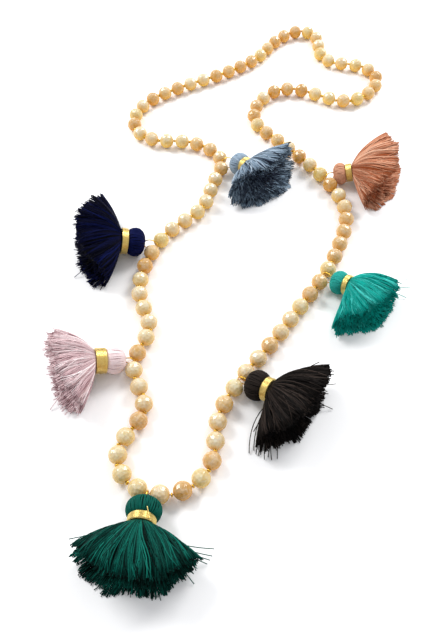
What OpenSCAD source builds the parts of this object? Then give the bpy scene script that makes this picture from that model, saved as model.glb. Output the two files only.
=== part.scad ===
// Tassel necklace: one closed string of drilled stone beads with seven cotton tassels,
// lying on a flat surface. Every tassel hangs from the thread by a small gold ring and is
// tied under its head with a gold binding. +Z is up, and +Y runs from the low point of
// the loop to its far end.

/* [String] */
// Strung length of the closed loop
loop_length = 932; // [882:5:982]
// Diameter of a stone bead
bead_d = 8.4; // [7.5:0.1:9]
// Least room between two beads
bead_gap = 0.8; // [0.8:0.1:1.6]
// Added room between the two beads that a tassel hangs from
ring_room = 1; // [0.9:0.1:1.4]
// Diameter of a bead's drilled hole
bore_d = 1.2; // [1:0.1:1.6]
// Diameter of the beading thread
thread_d = 0.6; // [0.4:0.1:0.8]
// Share of the loop between two neighbouring tassels
tassel_step = 0.08; // [0.07:0.005:0.085]

/* [Tassel] */
// Diameter of the wound head
head_d = 14; // [12:0.5:16]
// Length of the head from its crown to the binding
head_len = 9; // [8:0.5:10]
// Diameter of the neck under the binding
neck_d = 9.8; // [9:0.2:10.6]
// Length of the skirt's threads from the neck
skirt_len = 27; // [24:1:32]
// Fall of the skirt's lowest threads below the level, in degrees
droop = 20; // [16:1:24]
// Depth of the hollow in the skirt's cut end
hollow_depth = 6; // [3:0.5:9]
// Depth of the furrows between the locks at the skirt's end
lock_depth = 1.3; // [0.5:0.1:2.5]
// Locks round the skirt
lock_count = 14; // [10:1:18]
// Rise of a tassel's axis above the surface, in degrees
lift = 15; // [10:1:20]
// Diameter of the dimple in the crown that takes the ring
dimple_d = 5.8; // [5.4:0.2:6.2]
// Depth of that dimple
dimple_depth = 1.5; // [1.2:0.1:2]

/* [Binding] */
// Length of the neck that the binding covers
band_w = 3.6; // [3:0.2:4.4]
// Diameter of the wound gold wire
band_wire = 0.7; // [0.5:0.1:0.9]
// Turns of wire
band_turns = 5; // [4:1:5]

/* [Ring] */
// Diameter of the ring's gold wire
ring_wire = 0.5; // [0.4:0.1:0.7]
// Common way from the thread to a crown
hang_len = 3.5; // [3:0.25:5]
// Play between the ring and the thread
ring_play = 0.3; // [0.3:0.1:0.8]
// How far the ring reaches into the crown
ring_bite = 0.3; // [0.2:0.1:0.6]

/* [Hidden] */
// Clearance between pieces that fit in or round each other
clearance = 0.25;
thread_sides = 8;

// The string's route as it lies, in order from its low point up the left side. The whole
// route is scaled to the strung length.
route = [
    [-59, -162], [-72, -150], [-71, -138], [-62, -126], [-64, -114], [-68, -104], [-66, -92], [-61, -82],
    [-67, -60], [-62, -33], [-53, -18], [-34, 1], [-29, 19], [-23, 36], [-30, 46], [-44, 54], [-62, 56],
    [-73, 64], [-75, 79], [-66, 94], [-48, 106], [-16, 122], [3, 136], [15, 153], [24, 161], [33, 165],
    [42, 161], [44, 150], [44, 138], [50, 129], [66, 125], [77, 112], [70, 96], [54, 88], [36, 96],
    [19, 102], [3, 92], [-3, 73], [14, 48], [31, 24], [42, -5], [33, -36], [4, -80], [-30, -130],
    [-34, -152], [-44, -161]
];

// One row for each tassel. step counts tassels from the low point, with the other side of
// the loop below zero. hang, size, head, neck, band and length are the way from the thread,
// the thickness, the head's length, the neck's own thickness, the binding's length and the
// skirt's length as shares of the common sizes. slant is the share by which the cut leaves
// the skirt's left side longer and its right side shorter, and trim the share by which it
// leaves the middle shorter than the sides. swing is how far the ring swings from square to
// the string, heading the axis seen from above, left and right are how far the skirt
// spreads to its own two sides, and rise is how far its upper edge stands up, all in degrees.
NAME = 0;
STEP = 1;
HANG = 2;
SWING = 3;
SIZE = 4;
HEAD = 5;
NECK = 6;
BAND = 7;
LENGTH = 8;
SLANT = 9;
TRIM = 10;
HEADING = 11;
LEFT = 12;
RIGHT = 13;
RISE = 14;
COLOUR = 15;
tassels = [
    // name, step, hang, swing, size, head, neck, band,
    // length, slant, trim, heading, left, right, rise, colour
    ["green", 0, 1.05, 8, 1.08, 0.92, 0.94, 1, 1.04, 0, 0.05, -96, 66, 70, 24, "#0b5e50"],
    ["pink", 1, 1.08, 2, 0.93, 0.93, 1.12, 1.45, 1.04, 0.03, 0.10, 191, 70, 45, 32, "#c9a3ae"],
    ["navy", 2, 1.75, 21, 1.08, 0.93, 1.10, 1, 1.12, -0.04, 0.11, 184, 75, 76, 30, "#101c48"],
    ["grey", 3, 1.85, -6, 0.93, 0.88, 0.96, 1, 0.99, -0.01, 0.08, -48, 72, 70, 40, "#6e8199"],
    ["rose", -3, 1.65, 0, 0.88, 0.70, 0.90, 1, 1.08, 0.09, 0.02, -4, 53, 80, 28, "#b4704f"],
    ["turquoise", -2, 1.55, -14, 0.86, 0.76, 1.00, 0.8, 0.97, -0.10, 0.04, -36, 28, 80, 26, "#1fa090"],
    ["brown", -1, 1.25, 6, 1.02, 0.95, 0.92, 1, 1.06, 0, 0.14, -34, 55, 74, 28, "#2b2624"]
];

// Each tassel is three nodes of its own, beside the beads and their thread
PIECES = ["tassel", "band", "ring"];

// Outline of the head along its axis: along is a share of the head's length from the
// crown, out a share of the head's radius
ALONG = 0;
OUT = 1;
thickest = 0.56;
head_profile = [
    // along, out
    [0.00, 0.32], [0.03, 0.54], [0.14, 0.78], [0.33, 0.95], [thickest, 1.00], [0.80, 0.95], [0.96, 0.83]
];

// Stations along the skirt's threads where a ring of points is taken, as shares
skirt_stations = [0.10, 0.26, 0.46, 0.68, 0.86, 1];

function unit(v) = v / norm(v);
function mix(a, b, share) = a + (b - a) * share;
function on_side(value, side) = side < 0 ? -value : value;

// The route as one smooth closed curve: between two chosen points it is a cubic whose end
// directions are the weighted means of the chords on both sides
span_steps = 12;
function chord(i) = let(n = len(route)) norm(route[(i + 1) % n] - route[(i + n) % n]);
function slope(i) =
    let(n = len(route), here = route[i % n], before = route[(i + n - 1) % n], after = route[(i + 1) % n])
    let(back = norm(here - before), ahead = norm(after - here))
    (back * (after - here) / ahead + ahead * (here - before) / back) / (back + ahead);
function cubic(a, b, slope_a, slope_b, reach, u) =
    (2 * pow(u, 3) - 3 * pow(u, 2) + 1) * a + (pow(u, 3) - 2 * pow(u, 2) + u) * reach * slope_a
    + (3 * pow(u, 2) - 2 * pow(u, 3)) * b + (pow(u, 3) - pow(u, 2)) * reach * slope_b;
raw_curve = [
    for (i = [0:len(route)], k = [0:span_steps - 1])
    if (i < len(route) || k == 0)
        let(n = len(route))
        cubic(route[i % n], route[(i + 1) % n], slope(i), slope(i + 1), chord(i % n), k / span_steps)
];
raw_way = [
    for (i = 0, way = 0; i < len(raw_curve);
        i = i + 1, way = way + (i < len(raw_curve) ? norm(raw_curve[i] - raw_curve[i - 1]) : 0))
        way
];
route_scale = loop_length / raw_way[len(raw_way) - 1];
x_by_way = [for (i = [0:len(raw_way) - 1]) [raw_way[i] * route_scale, raw_curve[i].x * route_scale]];
y_by_way = [for (i = [0:len(raw_way) - 1]) [raw_way[i] * route_scale, raw_curve[i].y * route_scale]];
function at_way(way) = [lookup(way, x_by_way), lookup(way, y_by_way)];

// The beads lie on the route. A gap that a tassel hangs in is wider, and the first one is
// centred on the start of the route.
bead_count = floor((loop_length - len(tassels) * ring_room) / (bead_d + bead_gap));
bead_step = (loop_length - len(tassels) * ring_room) / bead_count;
function gap_index(row) = (round(row[STEP] * tassel_step * bead_count) + bead_count) % bead_count;
tassel_gaps = [for (row = tassels) gap_index(row)];
function wide_gaps(i) = len([for (g = tassel_gaps) if (g <= i) g]) - 0.5;
strung = [for (i = [0:bead_count - 1]) at_way((i + 0.5) * bead_step + wide_gaps(i) * ring_room)];
function on_string(i) = strung[(i + bead_count) % bead_count];
function string_dir(i) = unit(on_string(i + 1) - on_string(i - 1));
// The thread runs straight through each bead and bends in the gaps, where the lines through
// the two beads meet. Each bead is then centred on its stretch of thread.
function meeting(i) =
    let(a = on_string(i - 1), b = on_string(i), way_a = string_dir(i - 1), way_b = string_dir(i))
    (a + b + (way_a - way_b) * norm(b - a) / norm(way_a + way_b)) / 2;
gap_points = [for (i = [0:bead_count - 1]) meeting(i)];
function gap_point(i) = gap_points[(i + bead_count) % bead_count];
function bead_centre(i) = (gap_point(i) + gap_point(i + 1)) / 2;
function bead_heading(i) =
    let(run = gap_point(i + 1) - gap_point(i))
    atan2(run.y, run.x);
string_z = bead_d / 2;

// Frame of one tassel: the gap that it hangs in, the flat direction from the thread to the
// crown, square to the string, and the axis, side and up directions of the tassel itself
function flat(angle) = [cos(angle), sin(angle), 0];
function hang_point(row) =
    let(p = gap_point(gap_index(row)))
    [p.x, p.y, string_z];
function turn(from, to) = to - from - 360 * round((to - from) / 360);
function hang_heading(row) =
    let(i = gap_index(row), run = gap_point(i + 1) - gap_point(i - 1), square = atan2(run.x, -run.y))
    (flat(square) * flat(row[HEADING]) > 0 ? square : square + 180) + row[SWING];
function axis_dir(row) = flat(row[HEADING]) * cos(lift) + [0, 0, sin(lift)];
function side_dir(row) = flat(row[HEADING] + 90);
function up_dir(row) = cross(axis_dir(row), side_dir(row));
function hang_way(row) = hang_len * row[HANG];
function head_r(row) = head_d / 2 * row[SIZE];
function head_end(row) = head_len * row[HEAD];
function neck_r(row) = neck_d / 2 * row[SIZE] * row[NECK];
function band_len(row) = band_w * row[BAND];
// The head rests on the surface where it is thickest
function crown_z(row) = head_r(row) * cos(lift) - thickest * head_end(row) * sin(lift);
function crown(row) =
    let(p = hang_point(row) + flat(hang_heading(row)) * hang_way(row))
    [p.x, p.y, crown_z(row)];
function on_axis(row, along) = crown(row) + axis_dir(row) * along;
function round_axis(row, along, radius, angle) =
    on_axis(row, along) + (side_dir(row) * cos(angle) + up_dir(row) * sin(angle)) * radius;

// The skirt. angle runs round the tassel, from its own left side over the top.
points_per_lock = 3;
ring_points = lock_count * points_per_lock;
angles = [for (i = [0:ring_points - 1]) 360 * i / ring_points];
// The dimple narrows towards its floor
dimple_floor_d = 0.8 * dimple_d;
function skirt_start(row) = head_end(row) + band_len(row) + 2 * clearance;
function neck_end(row) = on_axis(row, skirt_start(row));
// A lock's crest is 1 and the furrow beside it 0
function crest(angle) = (1 + cos(lock_count * angle)) / 2;
// A lock's own length, a little longer or shorter than its neighbours
lock_variation = 0.05;
function lock_share(row, angle) =
    let(lock = floor(angle * lock_count / 360 + 0.5) % lock_count)
    1 + lock_variation * sin(lock * 137 + row[HEADING] * 7);
function skirt_reach(row, angle) =
    skirt_len * row[LENGTH] * lock_share(row, angle)
    * (1 - lock_variation * (1 - crest(angle))) * (1 - row[TRIM] * pow(1 - abs(cos(angle)), 2))
    * (1 + row[SLANT] * cos(angle));
// Directions of the thread ends: fuller than a circle towards the sides
fullness = 0.65;
function fuller(value) = on_side(pow(abs(value), fullness), value);
function end_dir(row, angle) =
    let(yaw = (cos(angle) > 0 ? row[LEFT] : row[RIGHT]) * fuller(cos(angle)))
    let(pitch = sin(angle) > 0 ? row[RISE] * fuller(sin(angle)) : -droop * fuller(-sin(angle)))
    flat(row[HEADING] + yaw) * cos(pitch) + [0, 0, sin(pitch)];
// Nothing lies lower than the surface
function on_surface(p) = [p.x, p.y, max(p.z, 0)];
function thread_end(row, angle) = neck_end(row) + end_dir(row, angle) * skirt_reach(row, angle);
// A thread leaves the neck outwards, by this share of its run, and bends over towards its end
arch = 0.45;
outset = 0.9;
function thread_point(row, angle, share) =
    let(start = round_axis(row, skirt_start(row), neck_r(row), angle), end = thread_end(row, angle))
    let(outward = start - neck_end(row))
    let(bend = start + unit(unit(end - start) + outset * unit(outward)) * norm(end - start) * arch)
    mix(mix(start, bend, share), mix(bend, end, share), share);
// The middle of the cut end, which is less far along than the longest threads
inner_share = 0.75;
function skirt_middle(row, share) =
    neck_end(row) + axis_dir(row) * skirt_len * row[LENGTH] * inner_share * share;
function skirt_point(row, angle, share) =
    let(p = thread_point(row, angle, share), middle = skirt_middle(row, share))
    on_surface(p - unit(p - middle) * lock_depth * share * (1 - crest(angle)));
// The cut end is a shallow hollow inside the ends of the outer threads, with two rings of
// points between its rim and its middle
hollow_stations = [0.35, 0.7];
function hollow_point(row, angle, inward) =
    let(rim = skirt_point(row, angle, 1), middle = skirt_middle(row, 1))
    mix(rim, middle, inward) - axis_dir(row) * hollow_depth * inward;

function tassel_rings(row) = concat(
    [[for (a = angles) round_axis(row, dimple_depth, dimple_floor_d / 2, a)]],
    [for (station = head_profile)
        [for (a = angles)
            on_surface(round_axis(row, station[ALONG] * head_end(row),
                max(station[OUT] * head_r(row), dimple_d / 2), a))]],
    [for (along = [head_end(row), skirt_start(row)])
        [for (a = angles) round_axis(row, along, neck_r(row), a)]],
    [for (share = skirt_stations) [for (a = angles) skirt_point(row, a, share)]],
    [for (inward = hollow_stations) [for (a = angles) hollow_point(row, a, inward)]]
);

// The model is set over its own middle
tassel_corners = [for (row = tassels, ring = tassel_rings(row), p = ring) p];
bead_corners = [for (i = [0:bead_count - 1], s = [-1, 1]) bead_centre(i) + [s, s] * bead_d / 2];
all_x = concat([for (p = tassel_corners) p.x], [for (p = bead_corners) p.x]);
all_y = concat([for (p = tassel_corners) p.y], [for (p = bead_corners) p.y]);
middle_x = (min(all_x) + max(all_x)) / 2;
middle_y = (min(all_y) + max(all_y)) / 2;
module centred() translate([-middle_x, -middle_y, 0]) children();

// A closed skin over rings of points. The first and last rings are closed by a point.
module skin(rings, first, last) {
    n = len(rings[0]);
    count = len(rings);
    points = concat([first], [for (ring = rings, p = ring) p], [last]);
    end = len(points) - 1;
    polyhedron(points, concat(
        [for (i = [0:n - 1]) [0, 1 + i, 1 + (i + 1) % n]],
        [for (k = [0:count - 2], i = [0:n - 1]) let(a = 1 + k * n, b = a + n, j = (i + 1) % n)
            each [[a + i, b + i, b + j], [a + i, b + j, a + j]]],
        [for (i = [0:n - 1]) let(a = 1 + (count - 1) * n) [end, a + (i + 1) % n, a + i]]
    ));
}

// A closed loop skinned over rings of points, the last joined to the first
module closed_skin(rings) {
    n = len(rings[0]);
    count = len(rings);
    polyhedron([for (ring = rings, p = ring) p], [
        for (k = [0:count - 1], i = [0:n - 1]) let(a = k * n, b = (k + 1) % count * n, j = (i + 1) % n)
            each [[a + i, b + i, b + j], [a + i, b + j, a + j]]
    ]);
}

// One drilled stone, with its hole along X
module bead() {
    rotate([0, 90, 0])
        difference() {
            sphere(d = bead_d, $fn = 48);
            cylinder(d = bore_d, h = bead_d + 1, center = true, $fn = 24);
        }
}

module beads() {
    color("#e3c08f")
        centred()
            for (i = [0:bead_count - 1])
                translate([bead_centre(i).x, bead_centre(i).y, string_z])
                    rotate([0, 0, bead_heading(i)]) bead();
}

// The thread is mitred in every gap
module thread() {
    rings = [
        for (i = [0:bead_count - 1])
            let(before = bead_heading((i + bead_count - 1) % bead_count), after = bead_heading(i))
            let(half = turn(before, after) / 2)
            let(across = flat(before + half + 90) / cos(half), p = gap_point(i))
            [for (k = [0:thread_sides - 1])
                let(a = 360 * k / thread_sides)
                [p.x, p.y, string_z] + (across * cos(a) + [0, 0, sin(a)]) * thread_d / 2]
    ];
    color("#d8c39a") centred() closed_skin(rings);
}

// Head, neck and skirt, folded and tied from one bundle of cotton
module tassel(row) {
    floor_middle = on_axis(row, dimple_depth);
    hollow_middle = skirt_middle(row, 1) - axis_dir(row) * hollow_depth;
    color(row[COLOUR]) centred() skin(tassel_rings(row), floor_middle, hollow_middle);
}

// The binding: turns of wire side by side on a thin sleeve
module band(row) {
    inner = neck_r(row) + clearance;
    turns = round(band_turns * row[BAND]);
    pitch = (band_len(row) - band_wire) / (turns - 1);
    p = on_axis(row, head_end(row) + clearance);
    color("#e8c23a")
        centred()
            translate(p)
                rotate([0, 90 - lift, row[HEADING]])
                    rotate_extrude($fn = 64) {
                        translate([inner, 0]) square([band_wire / 2, band_len(row)]);
                        for (i = [0:turns - 1])
                            translate([inner + band_wire / 2, band_wire / 2 + i * pitch])
                                circle(d = band_wire, $fn = 24);
                    }
}

// The ring round the thread, whose far side lies in the crown's dimple
module ring(row) {
    start = hang_point(row);
    way = [hang_way(row), crown_z(row) - string_z];
    reach = norm(way) + ring_bite;
    near = thread_d / 2 + ring_play;
    hole_d = reach - ring_wire + near;
    color("#e8c23a")
        centred()
            translate(start)
                rotate([0, -atan2(way.y, way.x), hang_heading(row)])
                    translate([hole_d / 2 - near, 0, 0])
                        rotate([90, 0, 0])
                            rotate_extrude($fn = 48)
                                translate([(hole_d + ring_wire) / 2, 0]) circle(d = ring_wire, $fn = 20);
}

beads();
thread();
for (row = tassels) {
    tassel(row);
    band(row);
    ring(row);
}
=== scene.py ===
import math
import bmesh
import bpy
import numpy as np
from mathutils import Euler, Matrix, Vector


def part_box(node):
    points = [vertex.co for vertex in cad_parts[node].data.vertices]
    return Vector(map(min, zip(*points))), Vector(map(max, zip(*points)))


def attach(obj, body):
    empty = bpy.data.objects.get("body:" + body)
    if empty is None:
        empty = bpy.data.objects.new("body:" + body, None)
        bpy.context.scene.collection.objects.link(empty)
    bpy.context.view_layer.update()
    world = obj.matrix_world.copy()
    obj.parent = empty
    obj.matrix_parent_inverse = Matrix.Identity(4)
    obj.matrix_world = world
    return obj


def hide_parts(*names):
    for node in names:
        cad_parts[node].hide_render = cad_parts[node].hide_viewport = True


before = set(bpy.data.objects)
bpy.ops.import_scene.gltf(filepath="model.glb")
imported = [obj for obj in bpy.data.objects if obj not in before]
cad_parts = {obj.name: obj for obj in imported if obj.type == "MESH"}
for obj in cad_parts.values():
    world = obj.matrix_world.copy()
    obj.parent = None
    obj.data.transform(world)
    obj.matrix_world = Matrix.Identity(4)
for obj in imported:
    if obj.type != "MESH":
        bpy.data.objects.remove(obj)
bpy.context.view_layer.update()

# The view. The necklace lies on a table and is seen from its low end, from above the near
# tassel, with a normal lens. The camera leans a little to its right.
MM = 0.001
CAMERA_AT = (-15.96 * MM, -255.26 * MM, 275.5 * MM)
TILT_BELOW_LEVEL = 54.2
LEAN = -1.48
camera = bpy.data.objects.new("view_camera", bpy.data.cameras.new("view_camera"))
camera.data.lens = 38.7
camera.data.sensor_width = 36
camera.data.shift_y = -0.0026
camera.data.clip_start = 0.01
tilted = Euler((math.radians(90 - TILT_BELOW_LEVEL), 0, 0)).to_matrix().to_4x4()
leaning = Matrix.Rotation(math.radians(LEAN), 4, "Z")
camera.matrix_world = Matrix.Translation(CAMERA_AT) @ tilted @ leaning
bpy.context.scene.collection.objects.link(camera)
bpy.context.scene.camera = camera

# The table and the studio light. A smooth white sheet lies under two soft boxes, both behind
# the necklace, in a bright white room, so only the touching shadows show.
bpy.context.scene.view_settings.view_transform = "Standard"


def linear(colour):
    """An sRGB hex colour as the shader's linear red, green, blue and alpha."""
    parts = [int(colour[i:i + 2], 16) / 255 for i in (1, 3, 5)]
    return [p / 12.92 if p <= 0.04045 else ((p + 0.055) / 1.055) ** 2.4 for p in parts] + [1]


def add(tree, kind, inputs=(), stops=(), **settings):
    """A node of a kind, with its settings. inputs maps a socket to a value or to another output,
    and stops are the places and colours of a ramp, from its low end to its high end."""
    made = tree.nodes.new(kind)
    for name, value in settings.items():
        setattr(made, name, value)
    for socket, value in dict(inputs).items():
        if isinstance(value, bpy.types.NodeSocket):
            tree.links.new(value, made.inputs[socket])
        else:
            made.inputs[socket].default_value = value
    ramp = made.color_ramp.elements if stops else []
    while len(ramp) < len(stops):
        ramp.new(1.0)
    for stop, (place, colour) in zip(ramp, stops):
        stop.position = place
        stop.color = linear(colour)
    return made


def finish_named(name):
    """An empty material of that name, and its node tree."""
    material = bpy.data.materials.new(name)
    material.use_nodes = True
    material.node_tree.nodes.clear()
    return material, material.node_tree


# Acrylic sheet, cast: smooth and white, with faint clouds 150 mm across. The sheet is 1 wide to
# the noise, which has no coordinates of its own.
TABLE_REACH = 3.0
SHEET_CLOUD = 150 * MM
white_sheet, tree = finish_named("white_acrylic_sheet")
clouds = add(tree, "ShaderNodeTexNoise", {"Scale": 2 * TABLE_REACH / SHEET_CLOUD, "Detail": 3.0})
white = add(tree, "ShaderNodeValToRGB", {"Fac": clouds.outputs["Fac"]},
            stops=[(0, "#f4f4f4"), (1, "#f8f8f8")])
sheet = add(tree, "ShaderNodeBsdfPrincipled",
            {"Base Color": white.outputs["Color"], "Roughness": 0.65, "IOR": 1.49})
add(tree, "ShaderNodeOutputMaterial", {"Surface": sheet.outputs["BSDF"]})

TABLE_DROP = 0.05 * MM
table_corners = [(x * TABLE_REACH, y * TABLE_REACH, -TABLE_DROP)
                 for x, y in ((-1, -1), (1, -1), (1, 1), (-1, 1))]
table_mesh = bpy.data.meshes.new("table")
table_mesh.from_pydata(table_corners, [], [(0, 1, 2, 3)])
table_mesh.materials.append(white_sheet)
table = bpy.data.objects.new("table", table_mesh)
bpy.context.scene.collection.objects.link(table)

room = bpy.data.worlds.new("white_room")
room.use_nodes = True
walls = room.node_tree.nodes["Background"]
walls.inputs["Color"].default_value = linear("#fbfcff")
walls.inputs["Strength"].default_value = 0.80
bpy.context.scene.world = room
# name, direction from the necklace, distance and side in metres, power in watts
SOFT_BOXES = [("left_box", (-0.60, 0.42, 0.70), 1.2, 0.50, 10.5),
              ("right_box", (0.50, 0.58, 0.66), 1.2, 0.50, 10.5)]
for name, direction, distance, side, power in SOFT_BOXES:
    lamp = bpy.data.lights.new(name, "AREA")
    lamp.shape = "SQUARE"
    lamp.size = side
    lamp.energy = power
    box = bpy.data.objects.new(name, lamp)
    box.location = Vector(direction).normalized() * distance
    box.rotation_euler = (-box.location).to_track_quat("-Z", "Y").to_euler()
    bpy.context.scene.collection.objects.link(box)

# Stone beads. A hundred round beads of honey-coloured moonstone, cut with small facets all over
# and drilled. They are threaded one after another, and lie on the table in a crooked loop.
FACET_ROWS = 7
FACETS_ROUND = 14
FEWEST_FACETS = 6
# A row near the hole has fewer facets, by this power of its radius
ROW_NARROWING = 0.8
STONE_BORE = 1.2 * MM
# The rows of facets end this many times the hole's radius from its middle
CLEAR_OF_HOLE = 1.6
# The hole is drawn from each end down to this share of the end's distance from the middle
HOLE_FLOOR = 0.35
RIM_INSET = 0.02
SAME_CORNER = 0.002
# A face is an end of the hole if it faces along it this nearly, and lies this far out
FACES_END = 0.999
FACES_WORN_END = 0.9999
LIES_AT_END = 0.8
# Edges that turn by more than this, in radians, are worn by this much
SHARP_EDGE = 0.05
EDGE_WEAR = 0.10 * MM
STONE_SEED = 11


def unit(v):
    """Vectors of the same directions, with length 1."""
    return v / np.linalg.norm(v, axis=-1, keepdims=True)


def corners_of(node):
    """Every different corner of a CAD node, in metres."""
    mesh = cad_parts[node].data
    co = np.zeros(len(mesh.vertices) * 3)
    mesh.vertices.foreach_get("co", co)
    return np.unique(co.reshape(-1, 3).round(7), axis=0)


def loose_boxes(node):
    """The lowest and highest corners of each loose solid of a CAD node."""
    bm = bmesh.new()
    bm.from_mesh(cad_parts[node].data)
    bmesh.ops.remove_doubles(bm, verts=bm.verts, dist=1e-6)
    left, found = set(bm.verts), []
    while left:
        todo, island = [left.pop()], []
        while todo:
            v = todo.pop()
            island.append(v.co[:])
            for e in v.link_edges:
                w = e.other_vert(v)
                if w in left:
                    left.discard(w)
                    todo.append(w)
        found.append((np.min(island, axis=0), np.max(island, axis=0)))
    bm.free()
    return found


def piece(name, points, faces, material, smooth=True, **values):
    """A mesh object on the necklace's body. values are one number for each point, by name."""
    mesh = bpy.data.meshes.new(name)
    mesh.from_pydata([tuple(p) for p in points], [], faces)
    for value, numbers in values.items():
        own = mesh.attributes.new(value, "FLOAT", "POINT")
        own.data.foreach_set("value", np.asarray(numbers, np.float32))
    mesh.polygons.foreach_set("use_smooth", [smooth] * len(mesh.polygons))
    mesh.materials.append(material)
    mesh.validate()
    made = bpy.data.objects.new(name, mesh)
    bpy.context.scene.collection.objects.link(made)
    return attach(made, "root")


# Order along the string, from the bead that is nearest to the low tassel
solids = loose_boxes("beads")
middles = [(low + high) / 2 for low, high in solids]
stone_r = max(high[2] - low[2] for low, high in solids) / 2
string = [middles.pop(int(np.argmin([m[1] for m in middles])))]
while middles:
    string.append(middles.pop(int(np.argmin([np.linalg.norm(m - string[-1]) for m in middles]))))
string = np.array(string)
thread_corners = corners_of("thread")


def gap_between(a, b):
    """The thread's own point between two beads."""
    near = np.linalg.norm(thread_corners - (a + b) / 2, axis=1) < stone_r / 2
    return thread_corners[near].mean(axis=0)


gaps = np.array([gap_between(string[i - 1], string[i]) for i in range(len(string))])
runs = unit(np.roll(gaps, -1, axis=0) - gaps)


def cut_stone():
    """Corners and flat faces of one cut bead of radius 1, with its hole along X."""
    hole = STONE_BORE / 2 / stone_r
    last_row = math.acos(hole * CLEAR_OF_HOLE)
    cuts = [(1.0, 0.0, 0.0), (-1.0, 0.0, 0.0)]
    for row in range(FACET_ROWS):
        lat = -last_row + 2 * last_row * (row + 0.5) / FACET_ROWS
        count = max(FEWEST_FACETS, round(FACETS_ROUND * math.cos(lat) ** ROW_NARROWING))
        for k in range(count):
            a = 2 * math.pi * (k + 0.5 * (row % 2)) / count
            cuts.append((math.sin(lat), math.cos(lat) * math.cos(a), math.cos(lat) * math.sin(a)))
    # Each cut is a plane at distance 1, and each corner is where three of them meet
    hull = bmesh.new()
    for c in cuts:
        hull.verts.new(c)
    bmesh.ops.convex_hull(hull, input=hull.verts)
    bmesh.ops.triangulate(hull, faces=hull.faces)
    hull.faces.ensure_lookup_table()
    hull.faces.index_update()
    points = [tuple(np.linalg.solve(np.array([v.co[:] for v in f.verts]), np.ones(3)))
              for f in hull.faces]
    faces = []
    for v in hull.verts:
        out = Vector(v.co)
        side = out.orthogonal().normalized()
        up = out.cross(side)
        around = []
        for f in v.link_faces:
            corner = Vector(points[f.index])
            around.append((math.atan2(corner.dot(up), corner.dot(side)), f.index))
        faces.append([index for angle, index in sorted(around)])
    hull.free()
    reach = max(Vector(p).length for p in points)
    stone = bmesh.new()
    verts = [stone.verts.new(Vector(p) / reach) for p in points]
    for f in faces:
        stone.faces.new([verts[i] for i in f])
    bmesh.ops.remove_doubles(stone, verts=stone.verts, dist=SAME_CORNER)
    # The drilled hole: both end facets are inset, made round and pushed in
    ends = sorted((f for f in stone.faces if abs(f.normal.x) > FACES_END),
                  key=lambda f: f.calc_center_median().x)
    bmesh.ops.inset_individual(stone, faces=ends, thickness=RIM_INSET)
    worn = [e for e in stone.edges if e.calc_face_angle(0) > SHARP_EDGE]
    bmesh.ops.bevel(stone, geom=worn, offset=EDGE_WEAR / stone_r, segments=1, affect="EDGES")
    ends = [f for f in stone.faces
            if abs(f.normal.x) > FACES_WORN_END and abs(f.calc_center_median().x) > LIES_AT_END]
    for end in ends:
        centre = end.calc_center_median()
        for v in end.verts[:]:
            spoke = Vector((0, v.co.y - centre.y, v.co.z - centre.z))
            v.co = Vector((centre.x, 0, 0)) + spoke.normalized() * hole
        bottom = bmesh.ops.extrude_discrete_faces(stone, faces=[end])["faces"][0]
        for v in bottom.verts:
            v.co.x *= HOLE_FLOOR
    stone.verts.index_update()
    result = (np.array([v.co[:] for v in stone.verts]), [[v.index for v in f.verts] for f in stone.faces])
    stone.free()
    return result


# Moonstone, cut and polished: milky and glossy, with its lower side painted amber, as painted light
# passing through it. Clouds of peach and cream run through each bead, finer veins roughen it, and
# beads differ in tone.
STONE_CLOUD = 2.4 * MM
STONE_VEIN = 0.65 * MM
moonstone, tree = finish_named("honey_moonstone_polished")
bead_tone = add(tree, "ShaderNodeAttribute", attribute_name="bead_tone")
height = add(tree, "ShaderNodeAttribute", attribute_name="height")
place = add(tree, "ShaderNodeTexCoord")
clouds = add(tree, "ShaderNodeTexNoise",
             {"Vector": place.outputs["Object"], "Scale": 1 / STONE_CLOUD, "Detail": 4.0,
              "Distortion": 1.2})
veins = add(tree, "ShaderNodeTexNoise",
            {"Vector": place.outputs["Object"], "Scale": 1 / STONE_VEIN, "Detail": 3.0})
cloud_shade = add(tree, "ShaderNodeValToRGB", {"Fac": clouds.outputs["Fac"]},
                  stops=[(0.35, "#bc8e48"), (0.65, "#ddd6c6")])
top_tones = add(tree, "ShaderNodeValToRGB", {"Fac": bead_tone.outputs["Fac"]},
                stops=[(0, "#a8792f"), (0.30, "#c4a878"), (0.65, "#ccc3a6"), (1, "#bfae72")])
# Amber for the painted light on each bead's lower side
painted_glow_tones = add(tree, "ShaderNodeValToRGB", {"Fac": bead_tone.outputs["Fac"]},
                stops=[(0, "#d29224"), (1, "#e2b84c")])
clouded = add(tree, "ShaderNodeMix",
              {"Factor": 0.34, "A": top_tones.outputs["Color"], "B": cloud_shade.outputs["Color"]},
              data_type="RGBA")
# Painted light: each bead's lower side is painted amber, fading into the stone's own clouded tones higher
# up
painted_glow_fade = add(tree, "ShaderNodeMapRange",
              {"Value": height.outputs["Fac"], "From Min": 0.42, "From Max": 0.95})
stone_and_glow_colour = add(tree, "ShaderNodeMix",
                  {"Factor": painted_glow_fade.outputs["Result"], "A": painted_glow_tones.outputs["Color"],
                   "B": clouded.outputs["Result"]}, data_type="RGBA")
vein_bump = add(tree, "ShaderNodeBump",
                {"Height": veins.outputs["Fac"], "Strength": 0.06, "Distance": 0.2 * MM})
stone_surface = add(tree, "ShaderNodeBsdfPrincipled",
                    {"Base Color": stone_and_glow_colour.outputs["Result"], "Roughness": 0.08, "IOR": 1.53,
                     "Subsurface Weight": 0.12, "Subsurface Radius": (1.0, 0.50, 0.18),
                     "Subsurface Scale": 2.0 * MM, "Normal": vein_bump.outputs["Normal"]})
add(tree, "ShaderNodeOutputMaterial", {"Surface": stone_surface.outputs["BSDF"]})

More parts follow.
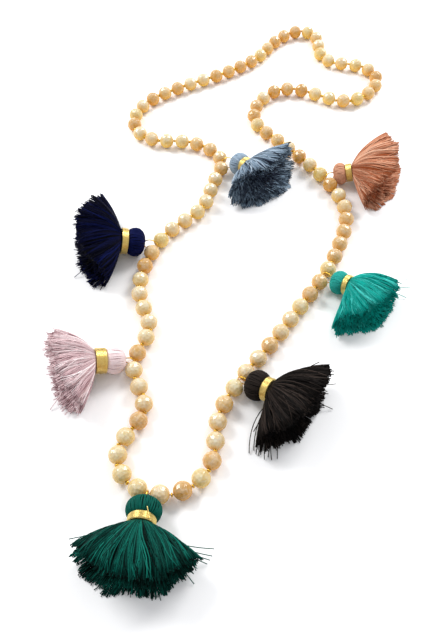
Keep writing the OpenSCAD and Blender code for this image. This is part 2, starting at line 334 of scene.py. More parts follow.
chance = np.random.default_rng(STONE_SEED)
shape, cut_faces = cut_stone()
points, faces, tones, heights = [], [], [], []
for centre, run in zip(string, runs):
    roll = chance.uniform(0, 2 * math.pi)
    side = np.array([-run[1], run[0], 0])
    up = np.cross(run, side)
    rolled_side = side * math.cos(roll) + up * math.sin(roll)
    rolled_up = up * math.cos(roll) - side * math.sin(roll)
    placed = centre + stone_r * shape @ np.array([run, rolled_side, rolled_up])
    faces += [[i + len(points) for i in f] for f in cut_faces]
    points += list(placed)
    tones += [chance.uniform(0, 1)] * len(shape)
    heights += list((placed[:, 2] - centre[2]) / stone_r / 2 + 0.5)
stones = piece("stone_beads", points, faces, moonstone, smooth=False, bead_tone=tones, height=heights)
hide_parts("beads")

# Hanging rings. Each tassel hangs from the thread by one small ring of gold-plated brass wire,
# which lies in the dimple of the tassel's crown.
RING_NODES = [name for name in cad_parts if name.endswith("_ring")]
HAIRLINE = 0.4 * MM
# Gold plate, polished: warm yellow reflections, with hairlines from handling, drawn coarser than
# real ones so that they show
gold_plate, tree = finish_named("gold_plated_brass")
place = add(tree, "ShaderNodeTexCoord")
hairlines = add(tree, "ShaderNodeTexNoise",
                {"Vector": place.outputs["Object"], "Scale": 1 / HAIRLINE, "Detail": 2.0})
gloss = add(tree, "ShaderNodeMapRange",
            {"Value": hairlines.outputs["Fac"], "To Min": 0.14, "To Max": 0.30})
gold_tone = add(tree, "ShaderNodeValToRGB", {"Fac": hairlines.outputs["Fac"]},
                stops=[(0, "#d9a52e"), (1, "#f2cf5e")])
plate = add(tree, "ShaderNodeBsdfPrincipled",
            {"Base Color": gold_tone.outputs["Color"], "Metallic": 1.0,
             "Roughness": gloss.outputs["Result"]})
add(tree, "ShaderNodeOutputMaterial", {"Surface": plate.outputs["BSDF"]})
for name in RING_NODES:
    ring_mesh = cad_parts[name].data
    ring_mesh.materials.clear()
    ring_mesh.materials.append(gold_plate)

# Thread and gold seed beads. The stones are strung on a waxed nylon thread. Between each two
# sits one tiny brass seed bead, plated yellow gold, which shows as a glint.
SEED_BEAD_R = 1.0 * MM
SEED_BEAD_HALF = 0.42 * MM
# No seed bead sits this near to a hanging ring
RING_ROOM = 4.5 * MM
SEED_SIDES = 12
SEED_RINGS = 8
PLY = 0.52 * MM
# At scale 1, Blender's wave bands lie this far apart
WAVE_BAND = math.pi / 10
# Waxed nylon, twisted from plies about half a millimetre apart: tan, with a dull gloss
nylon, tree = finish_named("waxed_nylon_thread")
place = add(tree, "ShaderNodeTexCoord")
plies = add(tree, "ShaderNodeTexWave",
            {"Vector": place.outputs["Object"], "Scale": WAVE_BAND / PLY, "Distortion": 1.0})
ply_bump = add(tree, "ShaderNodeBump",
               {"Height": plies.outputs["Fac"], "Strength": 0.3, "Distance": 0.1 * MM})
tan = add(tree, "ShaderNodeValToRGB", {"Fac": plies.outputs["Fac"]},
          stops=[(0, "#b98a4e"), (1, "#e0bf8c")])
thread_surface = add(tree, "ShaderNodeBsdfPrincipled",
                     {"Base Color": tan.outputs["Color"], "Roughness": 0.5, "IOR": 1.53,
                      "Normal": ply_bump.outputs["Normal"]})
add(tree, "ShaderNodeOutputMaterial", {"Surface": thread_surface.outputs["BSDF"]})
cad_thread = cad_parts["thread"].data
cad_thread.materials.clear()
cad_thread.materials.append(nylon)

ring_middles = [sum(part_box(name), Vector()) / 2 for name in RING_NODES]
points, faces = [], []
for i, gap in enumerate(gaps):
    if min((Vector(gap) - middle).length for middle in ring_middles) < RING_ROOM:
        continue
    # A seed bead is as thick as the two stones leave room for
    between = np.linalg.norm(string[i] - string[i - 1]) / 2 - math.sqrt(stone_r ** 2 - SEED_BEAD_R ** 2)
    half = min(SEED_BEAD_HALF, between)
    along = unit(runs[i] + runs[i - 1])
    side = np.array([-along[1], along[0], 0])
    up = np.cross(along, side)
    base = len(points)
    for k in range(SEED_SIDES):
        a = 2 * math.pi * k / SEED_SIDES
        out = side * math.cos(a) + up * math.sin(a)
        for j in range(SEED_RINGS):
            b = 2 * math.pi * j / SEED_RINGS
            points.append(gap + out * (SEED_BEAD_R - SEED_BEAD_HALF + SEED_BEAD_HALF * math.cos(b))
                          + along * half * math.sin(b))
    for k in range(SEED_SIDES):
        for j in range(SEED_RINGS):
            n = (k + 1) % SEED_SIDES
            m = (j + 1) % SEED_RINGS
            faces.append([base + k * SEED_RINGS + j, base + n * SEED_RINGS + j,
                          base + n * SEED_RINGS + m, base + k * SEED_RINGS + m])
seeds = piece("gold_seed_beads", points, faces, gold_plate)

# Tassels. A bundle of mercerised cotton threads is folded over and tied under its head. The
# threads fan out below the binding, lie on the table and end in one blunt cut, with a hollow
# in the middle. The form is the CAD model's, in millimetres and degrees, with more even locks.
HEAD_R = 14.0 / 2
HEAD_LEN = 9.0
NECK_R = 9.8 / 2
DIMPLE_R = 5.8 / 2
DIMPLE_DEPTH = 1.5
BAND_W = 3.6
FIT = 0.25
SKIRT_LEN = 27.0
# The axis rises by LIFT towards the skirt, and the lowest threads dip by DROOP
LIFT = 15.0
DROOP = 20.0
# The cut is hollow by this much in its middle
HOLLOW = 6.0
# The locks, the depth of the furrows between them, and by which share their lengths differ
LOCKS = 14
LOCK_DEPTH = 1.3
LOCK_VARIATION = 0.03
# Below 1, more of the threads lie near the sides
FULLNESS = 0.65
# Where along itself a thread bends, and how strongly it first leaves the neck outwards
ARCH = 0.45
OUTSET = 0.9
# How much of the way round a long or short place of the cut takes, to each side
CUT_WIDTH = 35.0
# The length of the threads in the middle, as a share of the outer ones
INNER_SHARE = 0.75
RIM_STEPS = 721
# Added to a difference, so that a length of 0 divides nothing
TINY = 1e-9
# along and out, as shares of the head's length and radius
HEAD_LINE = np.array([(0.00, 0.32), (0.03, 0.54), (0.14, 0.78), (0.33, 0.95),
                      (0.56, 1.00), (0.80, 0.95), (0.96, 0.83)])
# The threads fold over the ring at these shares of the dimple's depth and radius
FOLD_DEPTH = 0.9
FOLD_R = 0.75
# name; size, head, neck, band and length, as shares of the sizes above; slant and trim of the cut;
# heading, spread to its left and right, and rise of the upper threads, in degrees
TASSELS = [
    ("green", 1.08, 0.92, 0.94, 1, 1.04, 0, 0.05, -96, 66, 70, 24),
    ("pink", 0.93, 0.93, 1.12, 1.45, 1.04, 0.03, 0.10, 191, 70, 45, 32),
    ("navy", 1.08, 0.93, 1.10, 1, 1.12, -0.04, 0.11, 184, 75, 76, 30),
    ("grey", 0.93, 0.88, 0.96, 1, 0.99, -0.01, 0.08, -48, 72, 70, 40),
    ("rose", 0.88, 0.70, 0.90, 1, 1.08, 0.09, 0.02, -4, 53, 80, 28),
    ("turquoise", 0.86, 0.76, 1.00, 0.8, 0.97, -0.10, 0.04, -36, 28, 80, 26),
    ("brown", 1.02, 0.95, 0.92, 1, 1.06, 0, 0.14, -34, 55, 74, 28),
]
# For the same tassels: the way round where the cut runs long or short, by which share, the length
# of the outermost threads as a share of the others, waviness, raggedness, and the deep, main and
# light colour of the cotton. The deep colour is also the painted shade inside the skirt and at its
# cut.
COTTONS = [
    (232, 0.12, 0.96, 1.7, 1.0, "#000806", "#033a32", "#106e5f"),
    (108, -0.06, 0.87, 2.0, 0.8, "#a07a80", "#e0c4c6", "#fbf2f2"),
    (112, -0.03, 0.94, 0.8, 1.2, "#000002", "#010322", "#0c1a58"),
    (335, 0.10, 0.98, 1.5, 1.2, "#141a2c", "#788c9e", "#b0bfcd"),
    (300, 0.18, 0.97, 0.7, 0.6, "#954a26", "#bd8568", "#dcae92"),
    (320, 0.06, 0.95, 2.2, 0.8, "#00988c", "#067a70", "#48c6bc"),
    (255, -0.07, 0.95, 1.3, 1.0, "#000000", "#14100e", "#382f2a"),
]
# Threads that stand off: tassel, way of the end from the heading, reach, height and how much
# further to the side the middle of the thread stands
STRAYS = [
    ("green", -78, 28.5, 6.0, 0), ("green", 81, 29.5, 4.0, -14), ("green", 76, 29.5, 3.0, -12),
    ("green", 73, 29.0, 2.0, -9), ("green", 70, 28.5, 1.0, -7), ("green", 52, 28.5, 0.5, 4),
    ("pink", -50, 32.0, 9.0, 3), ("pink", 35, 28.0, 0.5, -5),
    ("navy", -77, 33.0, 5.0, 0), ("navy", -74, 34.0, 4.0, 2), ("navy", -70, 33.0, 6.0, 3),
    ("navy", -66, 33.0, 7.0, 2), ("navy", 31, 29.0, 0.5, 4),
    ("turquoise", 49, 31.0, 3.0, 5), ("turquoise", 40, 31.0, 2.0, -5), ("turquoise", 30, 28.5, 0.5, 12),
    ("brown", 66, 26.0, 10.0, 4), ("brown", 45, 30.0, 4.0, -3), ("brown", 23, 27.5, 0.5, 5),
    ("brown", -80, 28.0, 0.5, -22), ("brown", -77, 26.0, 0.5, -16), ("brown", -71, 28.0, 0.5, -14),
    ("brown", -86, 18.0, 1.0, 8), ("brown", -60, 29.0, 0.5, -6), ("brown", -74, 27.5, 0.5, -4),
    ("brown", -66, 29.0, 0.5, -8), ("brown", -55, 28.5, 0.5, 4), ("brown", -63, 28.0, 1.0, 5),
]
COTTON_SEED = 100


def flat(degrees):
    """Level directions at these angles."""
    a = np.radians(degrees)
    return np.stack([np.cos(a), np.sin(a), np.zeros_like(a)], axis=-1)


def fuller(value):
    """The same sine or cosine, nearer to its ends."""
    return np.sign(value) * np.abs(value) ** FULLNESS


def bowed(start, bend, end, s):
    """The point at share s of a curve from start to end that is drawn towards bend."""
    return (start * (1 - s) + bend * s) * (1 - s) + (bend * (1 - s) + end * s) * s


# A direction that no thread runs along
ACROSS = (0.31, 0.17, 0.93)


def tubes(paths, radii, sides, across=ACROSS):
    """Points and faces of tubes along paths, which are (path, step, xyz)."""
    count, steps = paths.shape[:2]
    way = unit(np.gradient(paths, axis=1))
    aside = unit(np.cross(way, np.array(across)))
    up = np.cross(way, aside)
    a = (2 * np.pi * np.arange(sides) / sides)[None, None, :, None]
    out = aside[:, :, None] * np.cos(a) + up[:, :, None] * np.sin(a)
    rings = paths[:, :, None] + radii[:, :, None, None] * out
    corner = np.arange(count * steps * sides).reshape(count, steps, sides)
    here, ahead = corner[:, :-1], corner[:, 1:]
    walls = np.stack([here, np.roll(here, -1, 2), np.roll(ahead, -1, 2), ahead], axis=-1).reshape(-1, 4)
    return rings.reshape(-1, 3), walls.tolist() + corner[:, -1].tolist() + corner[:, 0, ::-1].tolist()


def skinned(rings):
    """Points and faces of one closed skin over rings of points."""
    n = len(rings[0])
    faces = [[r * n + k, r * n + (k + 1) % n, (r + 1) * n + (k + 1) % n, (r + 1) * n + k]
             for r in range(len(rings) - 1) for k in range(n)]
    return np.vstack(rings), faces + [list(range(n))[::-1], [(len(rings) - 1) * n + k for k in range(n)]]


def joined(parts):
    """All points, faces and tones of several (points, faces, tones)."""
    points, faces, tones = [], [], []
    for some, sides, shades in parts:
        base = sum(len(p) for p in points)
        faces += [[i + base for i in f] for f in sides]
        points.append(some)
        tones.append(shades)
    return np.vstack(points), faces, np.clip(np.concatenate(tones), 0, 1)


def lay_down(points, least):
    """The same points, but none lower than this height over the table."""
    points[..., 2] = np.maximum(points[..., 2], least)
    return points


class Tassel:
    """One tassel's directions and the surface that its threads follow, in millimetres."""

    def __init__(self, name, size, head, neck, band, length, slant, trim, heading, left, right, rise,
                 cut_at=0, cut_by=0):
        low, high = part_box(name + "_band")
        lift = math.radians(LIFT)
        self.axis = flat(heading) * math.cos(lift) + np.array([0, 0, math.sin(lift)])
        self.side = flat(heading + 90)
        self.up = np.cross(self.axis, self.side)
        self.head_r, self.neck_r = HEAD_R * size, NECK_R * size * neck
        self.head_end, self.length = HEAD_LEN * head, SKIRT_LEN * length
        self.slant, self.trim = slant, trim
        self.heading, self.left, self.right, self.rise = heading, left, right, rise
        self.cut_at, self.cut_by = cut_at, cut_by
        self.band_w = BAND_W * band
        middle = np.array((low + high) / 2) / MM
        self.neck = middle + self.axis * (self.band_w / 2 + FIT)
        self.crown = middle - self.axis * (self.head_end + FIT + self.band_w / 2)

    def round_axis(self, along, radius, angle):
        """Points round the tassel's axis, at these distances along it from the crown."""
        along, radius, angle = np.broadcast_arrays(along, radius, angle)
        out = self.side * np.cos(angle)[..., None] + self.up * np.sin(angle)[..., None]
        return self.crown + self.axis * along[..., None] + out * radius[..., None]

    def head_profile(self):
        """The head's outline, along and out in its shares: down into the dimple and on to the neck."""
        dimple_edge, neck_edge = DIMPLE_R / self.head_r, self.neck_r / self.head_r
        fold = (DIMPLE_DEPTH / self.head_end * FOLD_DEPTH, FOLD_R * DIMPLE_R / self.head_r)
        under_band = (self.head_end + FIT) / self.head_end
        return np.vstack([[fold], np.maximum(HEAD_LINE, [(-1, dimple_edge)]),
                          [(1.0, neck_edge), (under_band, neck_edge)]])

    def rim(self, angle):
        """Where an outer thread ends, before the furrows."""
        c, s = np.cos(angle), np.sin(angle)
        yaw = np.where(c > 0, self.left, self.right) * fuller(c)
        pitch = np.radians(np.where(s > 0, self.rise * fuller(s), -DROOP * fuller(-s)))
        lock = np.floor(np.degrees(angle) % 360 * LOCKS / 360 + 0.5) % LOCKS
        crest = (1 + np.cos(LOCKS * angle)) / 2
        # As in the CAD model, a sine with no plain rhythm gives each lock its own length
        share = 1 + LOCK_VARIATION * np.sin(np.radians(lock * 137 + self.heading * 7))
        reach = self.length * share * (1 - LOCK_VARIATION * (1 - crest))
        reach = reach * (1 - self.trim * (1 - np.abs(c)) ** 2) * (1 + self.slant * c)
        off = (np.degrees(angle) - self.cut_at + 180) % 360 - 180
        reach = reach * (1 + self.cut_by * np.exp(-(off / CUT_WIDTH) ** 2))
        way = flat(self.heading + yaw) * np.cos(pitch)[..., None]
        way[..., 2] += np.sin(pitch)
        return self.neck + way * reach[..., None]

    def skirt(self, angle, share, inward):
        """A point on a thread of the skirt: inward is 0 at the skin and 1 in the middle."""
        angle, share, inward = np.broadcast_arrays(angle, share, inward)
        round_neck = self.side * np.cos(angle)[..., None] + self.up * np.sin(angle)[..., None]
        start = self.neck + round_neck * self.neck_r
        end = self.rim(angle)
        outward = unit(start - self.neck)
        run = np.linalg.norm(end - start, axis=-1, keepdims=True)
        bend = start + unit(unit(end - start) + OUTSET * outward) * run * ARCH
        s = share[..., None]
        p = bowed(start, bend, end, s)
        middle = self.neck + self.axis * self.length * INNER_SHARE * s
        crest = ((1 + np.cos(LOCKS * angle)) / 2)[..., None]
        p = p - unit(p - middle + TINY) * LOCK_DEPTH * s * (1 - crest)
        q = inward[..., None]
        return p * (1 - q) + middle * q - self.axis * HOLLOW * q * s

    def even(self, places):
        """Angles of places that run evenly along the rim, from 0 round to 1."""
        fine = np.linspace(0, 2 * np.pi, RIM_STEPS)
        edge = np.linalg.norm(np.diff(self.skirt(fine, 1.0, 0.0), axis=0), axis=1)
        way = np.concatenate([[0], np.cumsum(edge)])
        return np.interp(np.mod(places, 1), way / way[-1], fine)


# Cotton thread, drawn thicker than real thread so that single ones show
THREAD_R = 0.24
THREAD_SIDES = 3
THREAD_STEPS = 10
WISPS = 100
THREADS_A_WISP = 10
# Places across the skirt are in widths of a wisp, ends are shares of a thread's full length, and
# depths are shares of the way from the skin to the skirt's middle
PLACE_SPREAD = 0.04
CROSSING_SHARE = 0.10
CROSSING_DRIFT = 3.0
WISP_DRIFT = 0.45
THREAD_DRIFT = 0.30
WAVY_DRIFT = 0.25
SWAY = 0.45
FEWEST_SWAYS = 0.6
MOST_SWAYS = 1.5
SWAYS_SPREAD = 0.06
SWAY_START_SPREAD = 0.05
CLOSED_AT_CUT = 0.5
WISP_END_SPREAD = 0.015
THREAD_END_SPREAD = 0.010
WISP_SINK = 0.030
THREAD_SINK = 0.016
PROUD = 0.012
# Half of the threads leave the neck near its skin, and the others anywhere down to ROOT_DEEP
SHALLOW_SHARE = 0.5
ROOT_SHALLOW = 0.02
ROOT_DEEP = 0.4
# How much a thread thins towards its cut, and the thinnest and thickest ones
THINNING = 0.12
THINNEST = 0.85
THICKEST = 1.12
# Dye takes unevenly: tones run from 0, deep, to 1, light. SUNK_SHADE and CUT_SHADE are painted
# shade: threads sunk in the skin are drawn darker, proud ones a little lighter, and every thread
# darker towards its cut
OUTER_TONE = 0.52
WISP_TONE_SPREAD = 0.15
FEW = 3
FEW_TONE_SPREAD = 0.17
THREAD_TONE_SPREAD = 0.10
SUNK_SHADE = 3.2
CUT_SHADE = 0.20


def outer_threads(t, chance, skin, wave, rag):
    """The skin of the skirt: wisps of ten threads side by side, which close up a little at the cut.
    What moves a thread to the side or inwards grows along it by a power of the share gone."""
    of = np.repeat(np.arange(WISPS), THREADS_A_WISP)
    threads = len(of)
    own = np.tile((np.arange(THREADS_A_WISP) + 0.5) / THREADS_A_WISP - 0.5, WISPS)
    own = own + chance.normal(0, PLACE_SPREAD, threads)
    crossing = chance.uniform(0, 1, threads) < CROSSING_SHARE
    ends = (skin + chance.normal(0, WISP_END_SPREAD * rag, WISPS)[of]
            + chance.normal(0, THREAD_END_SPREAD * rag, threads))
    share = np.linspace(0, 1, THREAD_STEPS)[None, :] * ends[:, None]
    pinch = chance.uniform(0, CLOSED_AT_CUT, WISPS)[of]
    drift = (chance.normal(0, WISP_DRIFT, WISPS)[of]
             + chance.normal(0, THREAD_DRIFT + WAVY_DRIFT * wave, threads))
    drift = np.where(crossing, chance.normal(0, CROSSING_DRIFT, threads), drift)
    turns = chance.uniform(FEWEST_SWAYS, MOST_SWAYS, WISPS)[of] + chance.normal(0, SWAYS_SPREAD, threads)
    phase = chance.uniform(0, 1, WISPS)[of] + chance.normal(0, SWAY_START_SPREAD, threads)
    sway = SWAY * wave * np.sin(2 * np.pi * (share * turns[:, None] + phase[:, None])) * share ** 0.7
    sideways = own[:, None] * (1 - pinch[:, None] * share ** 2) + drift[:, None] * share ** 1.5 + sway
    sunk = (np.abs(chance.normal(0, WISP_SINK, WISPS))[of]
            + np.abs(chance.normal(0, THREAD_SINK, threads)) - PROUD)
    sunk = np.where(crossing, -PROUD, sunk)
    root = np.where(chance.uniform(0, 1, threads) < SHALLOW_SHARE, ROOT_SHALLOW,
                    chance.uniform(0, ROOT_DEEP, threads))
    inward = sunk[:, None] + (root - sunk)[:, None] * (1 - share) ** 3
    paths = t.skirt(t.even((of[:, None] + 0.5 + sideways) / WISPS), share, inward)
    radii = THREAD_R * (1 - THINNING * share ** 4) * chance.uniform(THINNEST, THICKEST, threads)[:, None]
    few = chance.normal(0, FEW_TONE_SPREAD, threads // FEW + 1)[np.arange(threads) // FEW]
    # Random dye tones per wisp, per few threads and per thread, with painted shade: sunk threads and the
    # cut ends darker
    tone = (OUTER_TONE + chance.normal(0, WISP_TONE_SPREAD, WISPS)[of] + few
            + chance.normal(0, THREAD_TONE_SPREAD, threads) - SUNK_SHADE * sunk)
    tone = tone[:, None] - CUT_SHADE * share ** 6
    points, faces = tubes(lay_down(paths, radii.max()), radii, THREAD_SIDES)
    return points, faces, np.repeat(tone.ravel(), THREAD_SIDES)


INNER_THREADS = 1400
INNER_STEPS = 4
# Each shows from this share of its length to its end, and leans to the side over that stretch
INNER_FROM = 0.70
INNER_END = 0.98
INNER_RUN = 0.3
# The outermost and innermost of them, between the skin at 0 and the middle at 1
INNER_SKIN = 0.05
INNER_DEPTH = 0.90
# The inner threads stand in clumps, of so many degrees round and one of five layers inward
CLUMPS = 100
CLUMP_DEGREES = 18
CLUMP_LAYERS = 5
CLUMP_END_SPREAD = 0.018
INNER_END_SPREAD = 0.015
LEAN_SPREAD = 0.35
# The inner threads start a little darker than the skin, and MIDDLE_SHADE darkens them towards the middle:
# painted shade. The spreads are random dye tones
INNER_TONE = 0.46
CLUMP_TONE_SPREAD = 0.10
INNER_TONE_SPREAD = 0.15
MIDDLE_SHADE = 0.60


def inner_threads(t, chance, rag):
    """The inside of the skirt: the cut ends, which stand out of the closed bundle."""
    inward = 1 - np.sqrt(chance.uniform(0, 1, INNER_THREADS))
    angle = t.even(chance.uniform(0, 1, INNER_THREADS))
    clump = np.degrees(angle) // CLUMP_DEGREES * CLUMP_LAYERS + inward // (1 / CLUMP_LAYERS)
    clump = clump.astype(int) % CLUMPS
    ends = (INNER_END + chance.normal(0, CLUMP_END_SPREAD * rag, CLUMPS)[clump]
            + chance.normal(0, INNER_END_SPREAD * rag, INNER_THREADS))
    share = INNER_FROM + (ends - INNER_FROM)[:, None] * np.linspace(0, 1, INNER_STEPS)[None, :]
    lean = (chance.normal(0, LEAN_SPREAD, (CLUMPS, 3))[clump]
            + chance.normal(0, LEAN_SPREAD, (INNER_THREADS, 3)))
    paths = t.skirt(angle[:, None], share, (INNER_SKIN + INNER_DEPTH * inward)[:, None])
    paths = paths + lean[:, None] * (share - INNER_FROM)[..., None] / INNER_RUN
    # Painted shade: darker towards the middle of the skirt
    tone = (INNER_TONE + chance.normal(0, CLUMP_TONE_SPREAD, CLUMPS)[clump]
            + chance.normal(0, INNER_TONE_SPREAD, INNER_THREADS) - MIDDLE_SHADE * inward)
    radii = np.full((INNER_THREADS, INNER_STEPS), THREAD_R)
    points, faces = tubes(lay_down(paths, THREAD_R), radii, THREAD_SIDES)
    return points, faces, np.repeat(tone, INNER_STEPS * THREAD_SIDES)


STRAY_R = THREAD_R * 0.9
STRAY_SIDES = 4
STRAY_TONE = 0.62
# Where its root and its bend lie, as shares of its way round, of the neck's radius and of its
# reach, and by how much the bend stands higher, in millimetres
STRAY_ROOT_WAY = 0.7
STRAY_ROOT_R = 0.9
STRAY_BEND_AT = 0.55
STRAY_ARCH = 1.5


def stray_threads(t, strays):
    """The threads that stand off the skirt, each with a bend of its own."""
    way, reach, height, bow = np.array(strays, float).T[:, :, None]
    start = t.neck + flat(t.heading + way[:, 0] * STRAY_ROOT_WAY)[:, None] * t.neck_r * STRAY_ROOT_R
    bend = t.neck + flat(t.heading + way[:, 0] + bow[:, 0])[:, None] * (reach * STRAY_BEND_AT)[..., None]
    end = t.neck + flat(t.heading + way[:, 0])[:, None] * reach[..., None]
    bend[..., 2] = (t.neck[2] + height) / 2 + STRAY_ARCH
    end[..., 2] = height
    paths = bowed(start, bend, end, np.linspace(0, 1, THREAD_STEPS)[None, :, None])
    points, faces = tubes(lay_down(paths, THREAD_R), np.full(paths.shape[:2], STRAY_R), STRAY_SIDES)
    return points, faces, np.full(len(points), STRAY_TONE)


HEAD_THREAD_R = 0.30
HEAD_THREADS = 110
HEAD_STEPS = 16
HEAD_SIDES = 5
# The head's threads are painted lighter than the skirt's, as painted sheen; the spread is random dye tone
HEAD_SHEEN_TONE = 0.66
HEAD_TONE_SPREAD = 0.04
HEAD_PLACE_SPREAD = 0.2
# Each wanders a little to the side as it comes down, and lies a little deeper or prouder
WANDER = 0.05
WANDER_LEAST = 2
WANDER_MOST = 6
WANDER_START = 6.28
DEEPEST = -0.03
PROUDEST = 0.02


def head_threads(t, chance):
    """The head: the same threads, folded over the ring and drawn down side by side to the neck."""
    places = np.arange(HEAD_THREADS) + chance.uniform(-HEAD_PLACE_SPREAD, HEAD_PLACE_SPREAD, HEAD_THREADS)
    turns = 2 * math.pi * places / HEAD_THREADS
    line = t.head_profile()
    at = np.concatenate([[0], np.cumsum(np.linalg.norm(np.diff(line, axis=0), axis=1))])
    fine = np.linspace(0, at[-1], HEAD_STEPS)
    along, out = np.interp(fine, at, line[:, 0]), np.interp(fine, at, line[:, 1])
    bends = chance.uniform(WANDER_LEAST, WANDER_MOST, HEAD_THREADS)[:, None]
    phase = chance.uniform(0, WANDER_START, HEAD_THREADS)[:, None]
    wander = WANDER * np.sin(fine[None, :] / at[-1] * bends + phase)
    uneven = chance.uniform(DEEPEST, PROUDEST, HEAD_THREADS)[:, None]
    paths = t.round_axis(along[None, :] * t.head_end, out[None, :] * t.head_r - HEAD_THREAD_R + uneven,
                         turns[:, None] + wander)
    radii = np.full((HEAD_THREADS, HEAD_STEPS), HEAD_THREAD_R)
    points, faces = tubes(lay_down(paths, HEAD_THREAD_R), radii, HEAD_SIDES)
    # Painted sheen: a lighter tone than the skirt's, with a random spread
    tone = np.clip(chance.normal(HEAD_SHEEN_TONE, HEAD_TONE_SPREAD, HEAD_THREADS), 0, 1)
    return points, faces, np.repeat(tone, HEAD_STEPS * HEAD_SIDES)


CORE_COLUMNS = 60
# It fills this share of the dimple's radius, and lies this far under the head's outline, in
# millimetres, and under the skirt's skin, as a share of the way to the middle
CORE_IN_DIMPLE = 0.7
CORE_UNDER_HEAD = 0.45
CORE_UNDER_SKIRT = 0.13
CORE_END = 0.88
# Its rings down the skirt, and then inwards at its end
CORE_SHARES = (0.0, 0.12, 0.3, 0.5, 0.7, CORE_END)
CORE_INWARD = (0.35, 0.6, 0.85)
CORE_OVER_TABLE = 0.3
# The core is painted almost in the deep colour, as painted shade between the threads
CORE_PAINTED_SHADE = 0.06


def closed_core(t):
    """The closed bundle inside, so that no light passes between the threads."""
    way = 2 * math.pi * np.arange(CORE_COLUMNS) / CORE_COLUMNS
    rings = [t.round_axis(DIMPLE_DEPTH, DIMPLE_R * CORE_IN_DIMPLE, way)]
    rings += [t.round_axis(along * t.head_end, out * t.head_r - CORE_UNDER_HEAD, way)
              for along, out in t.head_profile()[1:]]
    rings += [t.skirt(way, share, CORE_UNDER_SKIRT) for share in CORE_SHARES]
    rings += [t.skirt(way, CORE_END, inward) for inward in CORE_INWARD]
    points, faces = skinned([lay_down(ring, CORE_OVER_TABLE) for ring in rings])
    return points, faces, np.full(len(points), CORE_PAINTED_SHADE)


TWIST = 0.5 * MM


def cotton(name, deep, main, light):
    """Mercerised cotton, dyed: silky threads with hardly any gloss, in lighter and darker tones, with
    painted shade in the deep colour and painted sheen on the head in the lighter ones.
    Its bump is the twist of the plies, 0.5 mm apart as in real thread."""
    material, tree = finish_named(name)
    tone = add(tree, "ShaderNodeAttribute", attribute_name="tone")
    place = add(tree, "ShaderNodeTexCoord")
    twist = add(tree, "ShaderNodeTexNoise",
                {"Vector": place.outputs["Object"], "Scale": 1 / TWIST, "Detail": 2.0})
    uneven = add(tree, "ShaderNodeMath", {0: twist.outputs["Fac"], 1: 0.30, 2: -0.15},
                 operation="MULTIPLY_ADD")
    total = add(tree, "ShaderNodeMath", {0: uneven.outputs["Value"], 1: tone.outputs["Fac"]},
                operation="ADD")
    # Tones map to the dye's colours, and also to painted shade and painted sheen
    dye_and_shade = add(tree, "ShaderNodeValToRGB", {"Fac": total.outputs["Value"]},
              stops=[(0, deep), (0.5, main), (1, light)])
    twist_bump = add(tree, "ShaderNodeBump",
                     {"Height": twist.outputs["Fac"], "Strength": 0.25, "Distance": 0.2 * MM})
    threads = add(tree, "ShaderNodeBsdfPrincipled",
                  {"Base Color": dye_and_shade.outputs["Color"], "Roughness": 0.60, "IOR": 1.5,
                   "Specular IOR Level": 0.06, "Normal": twist_bump.outputs["Normal"]})
    add(tree, "ShaderNodeOutputMaterial", {"Surface": threads.outputs["BSDF"]})
    return material


for number, (row, own_cotton) in enumerate(zip(TASSELS, COTTONS)):
    chance = np.random.default_rng(COTTON_SEED + number)
    name = row[0]
    cut_at, cut_by, skin, wave, rag, deep, main, light = own_cotton
    tassel = Tassel(*row, cut_at, cut_by)
    parts = [outer_threads(tassel, chance, skin, wave, rag), inner_threads(tassel, chance, rag)]
    strays = [stray[1:] for stray in STRAYS if stray[0] == name]
    if strays:
        parts.append(stray_threads(tassel, strays))
    parts += [head_threads(tassel, chance), closed_core(tassel)]
    points, faces, tones = joined(parts)
    finish = cotton(name + "_mercerised_cotton", deep, main, light)
    bundle = piece(name + "_threads", points * MM, faces, finish, tone=tones)
    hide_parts(name + "_tassel")

# Gold bindings. Metallic yarn, a strip of gold foil wound on a cotton core, is wrapped tightly
# round each neck seven times over one layer of itself. Its end is drawn over the turns.
YARN_R = 0.24
YARN_SIDES = 6
YARN_TURNS = 7
YARN_STEPS = 44
YARN_SPREAD = 0.03
BAND_WIRE = 0.7
# Where the yarn's end crosses the turns, in degrees from the tassel's own left side over the top
END_AT = {"green": 52}
HIDDEN_END_AT = 235
# How far the end goes past the turns, over them, round in radians, and up towards its tip
END_PAST = 1.2
END_OVER = 0.45
END_ROUND = 0.35
END_STANDS = 0.6
END_STEPS = 10
UNDER_COLUMNS = 48
UNDER_INSET = 0.1
BAND_OVER_TABLE = 0.05
YARN_SEED = 200
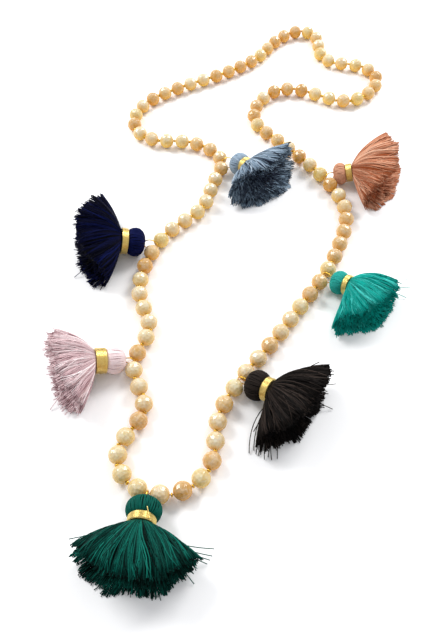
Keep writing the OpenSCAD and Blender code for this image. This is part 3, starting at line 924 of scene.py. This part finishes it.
# Gold foil, wound as a strip with its edges 0.3 mm apart: deeper gold, with painted glints in pale
# yellow patches
FOIL_STRIP = 0.3 * MM
gold_yarn, tree = finish_named("gold_metallic_yarn")
place = add(tree, "ShaderNodeTexCoord")
foil = add(tree, "ShaderNodeTexNoise",
           {"Vector": place.outputs["Object"], "Scale": 1 / FOIL_STRIP, "Detail": 1.0})
# Painted glints: pale yellow patches in the foil's deeper gold
foil_gold_and_glints = add(tree, "ShaderNodeValToRGB", {"Fac": foil.outputs["Fac"]},
                stops=[(0, "#cb9c36"), (1, "#fff1a6")])
foil_bump = add(tree, "ShaderNodeBump",
                {"Height": foil.outputs["Fac"], "Strength": 0.35, "Distance": 0.1 * MM})
yarn_surface = add(tree, "ShaderNodeBsdfPrincipled",
                   {"Base Color": foil_gold_and_glints.outputs["Color"], "Metallic": 0.9, "Roughness": 0.30,
                    "Normal": foil_bump.outputs["Normal"]})
add(tree, "ShaderNodeOutputMaterial", {"Surface": yarn_surface.outputs["BSDF"]})


def yarn(path, across=ACROSS):
    """One length of yarn along a path, as (points, faces, tones)."""
    points, faces = tubes(path[None], np.full((1, len(path)), YARN_R), YARN_SIDES, across)
    return points, faces, np.zeros(len(points))


for number, row in enumerate(TASSELS):
    chance = np.random.default_rng(YARN_SEED + number)
    name = row[0]
    tassel = Tassel(*row)
    low, high = tassel.head_end + FIT, tassel.head_end + FIT + tassel.band_w
    turns = round(YARN_TURNS * tassel.band_w / BAND_W)
    outer = tassel.neck_r + FIT + BAND_WIRE - YARN_R
    wound = np.linspace(0, turns, turns * YARN_STEPS)
    uneven = np.interp(wound, np.arange(turns + 1), chance.normal(0, YARN_SPREAD, turns + 1))
    swell = np.interp(wound, np.arange(turns + 1), chance.normal(0, YARN_SPREAD, turns + 1))
    end_at = math.radians(END_AT.get(name, HIDDEN_END_AT))
    along = low + YARN_R + (tassel.band_w - 2 * YARN_R) * wound / turns + uneven
    winding = tassel.round_axis(along, outer + swell, 2 * math.pi * (wound - turns) + end_at)
    s = np.linspace(0, 1, END_STEPS)
    tail = tassel.round_axis(high - YARN_R - (tassel.band_w + END_PAST) * s,
                             outer + END_OVER + END_STANDS * s ** 3, end_at + END_ROUND * s)
    # The layer under the turns that show
    way = 2 * math.pi * np.arange(UNDER_COLUMNS) / UNDER_COLUMNS
    inner, near, far = tassel.neck_r + FIT * 0.5, low + UNDER_INSET, high - UNDER_INSET
    under = [tassel.round_axis(a, r, way)
             for a, r in ((near, inner), (near, outer), (far, outer), (far, inner))]
    points, faces = skinned(under)
    parts = [yarn(winding, tassel.axis), yarn(tail), (points, faces, np.zeros(len(points)))]
    points, faces, _ = joined(parts)
    binding = piece(name + "_binding", lay_down(points, BAND_OVER_TABLE) * MM, faces, gold_yarn)
    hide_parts(name + "_band")
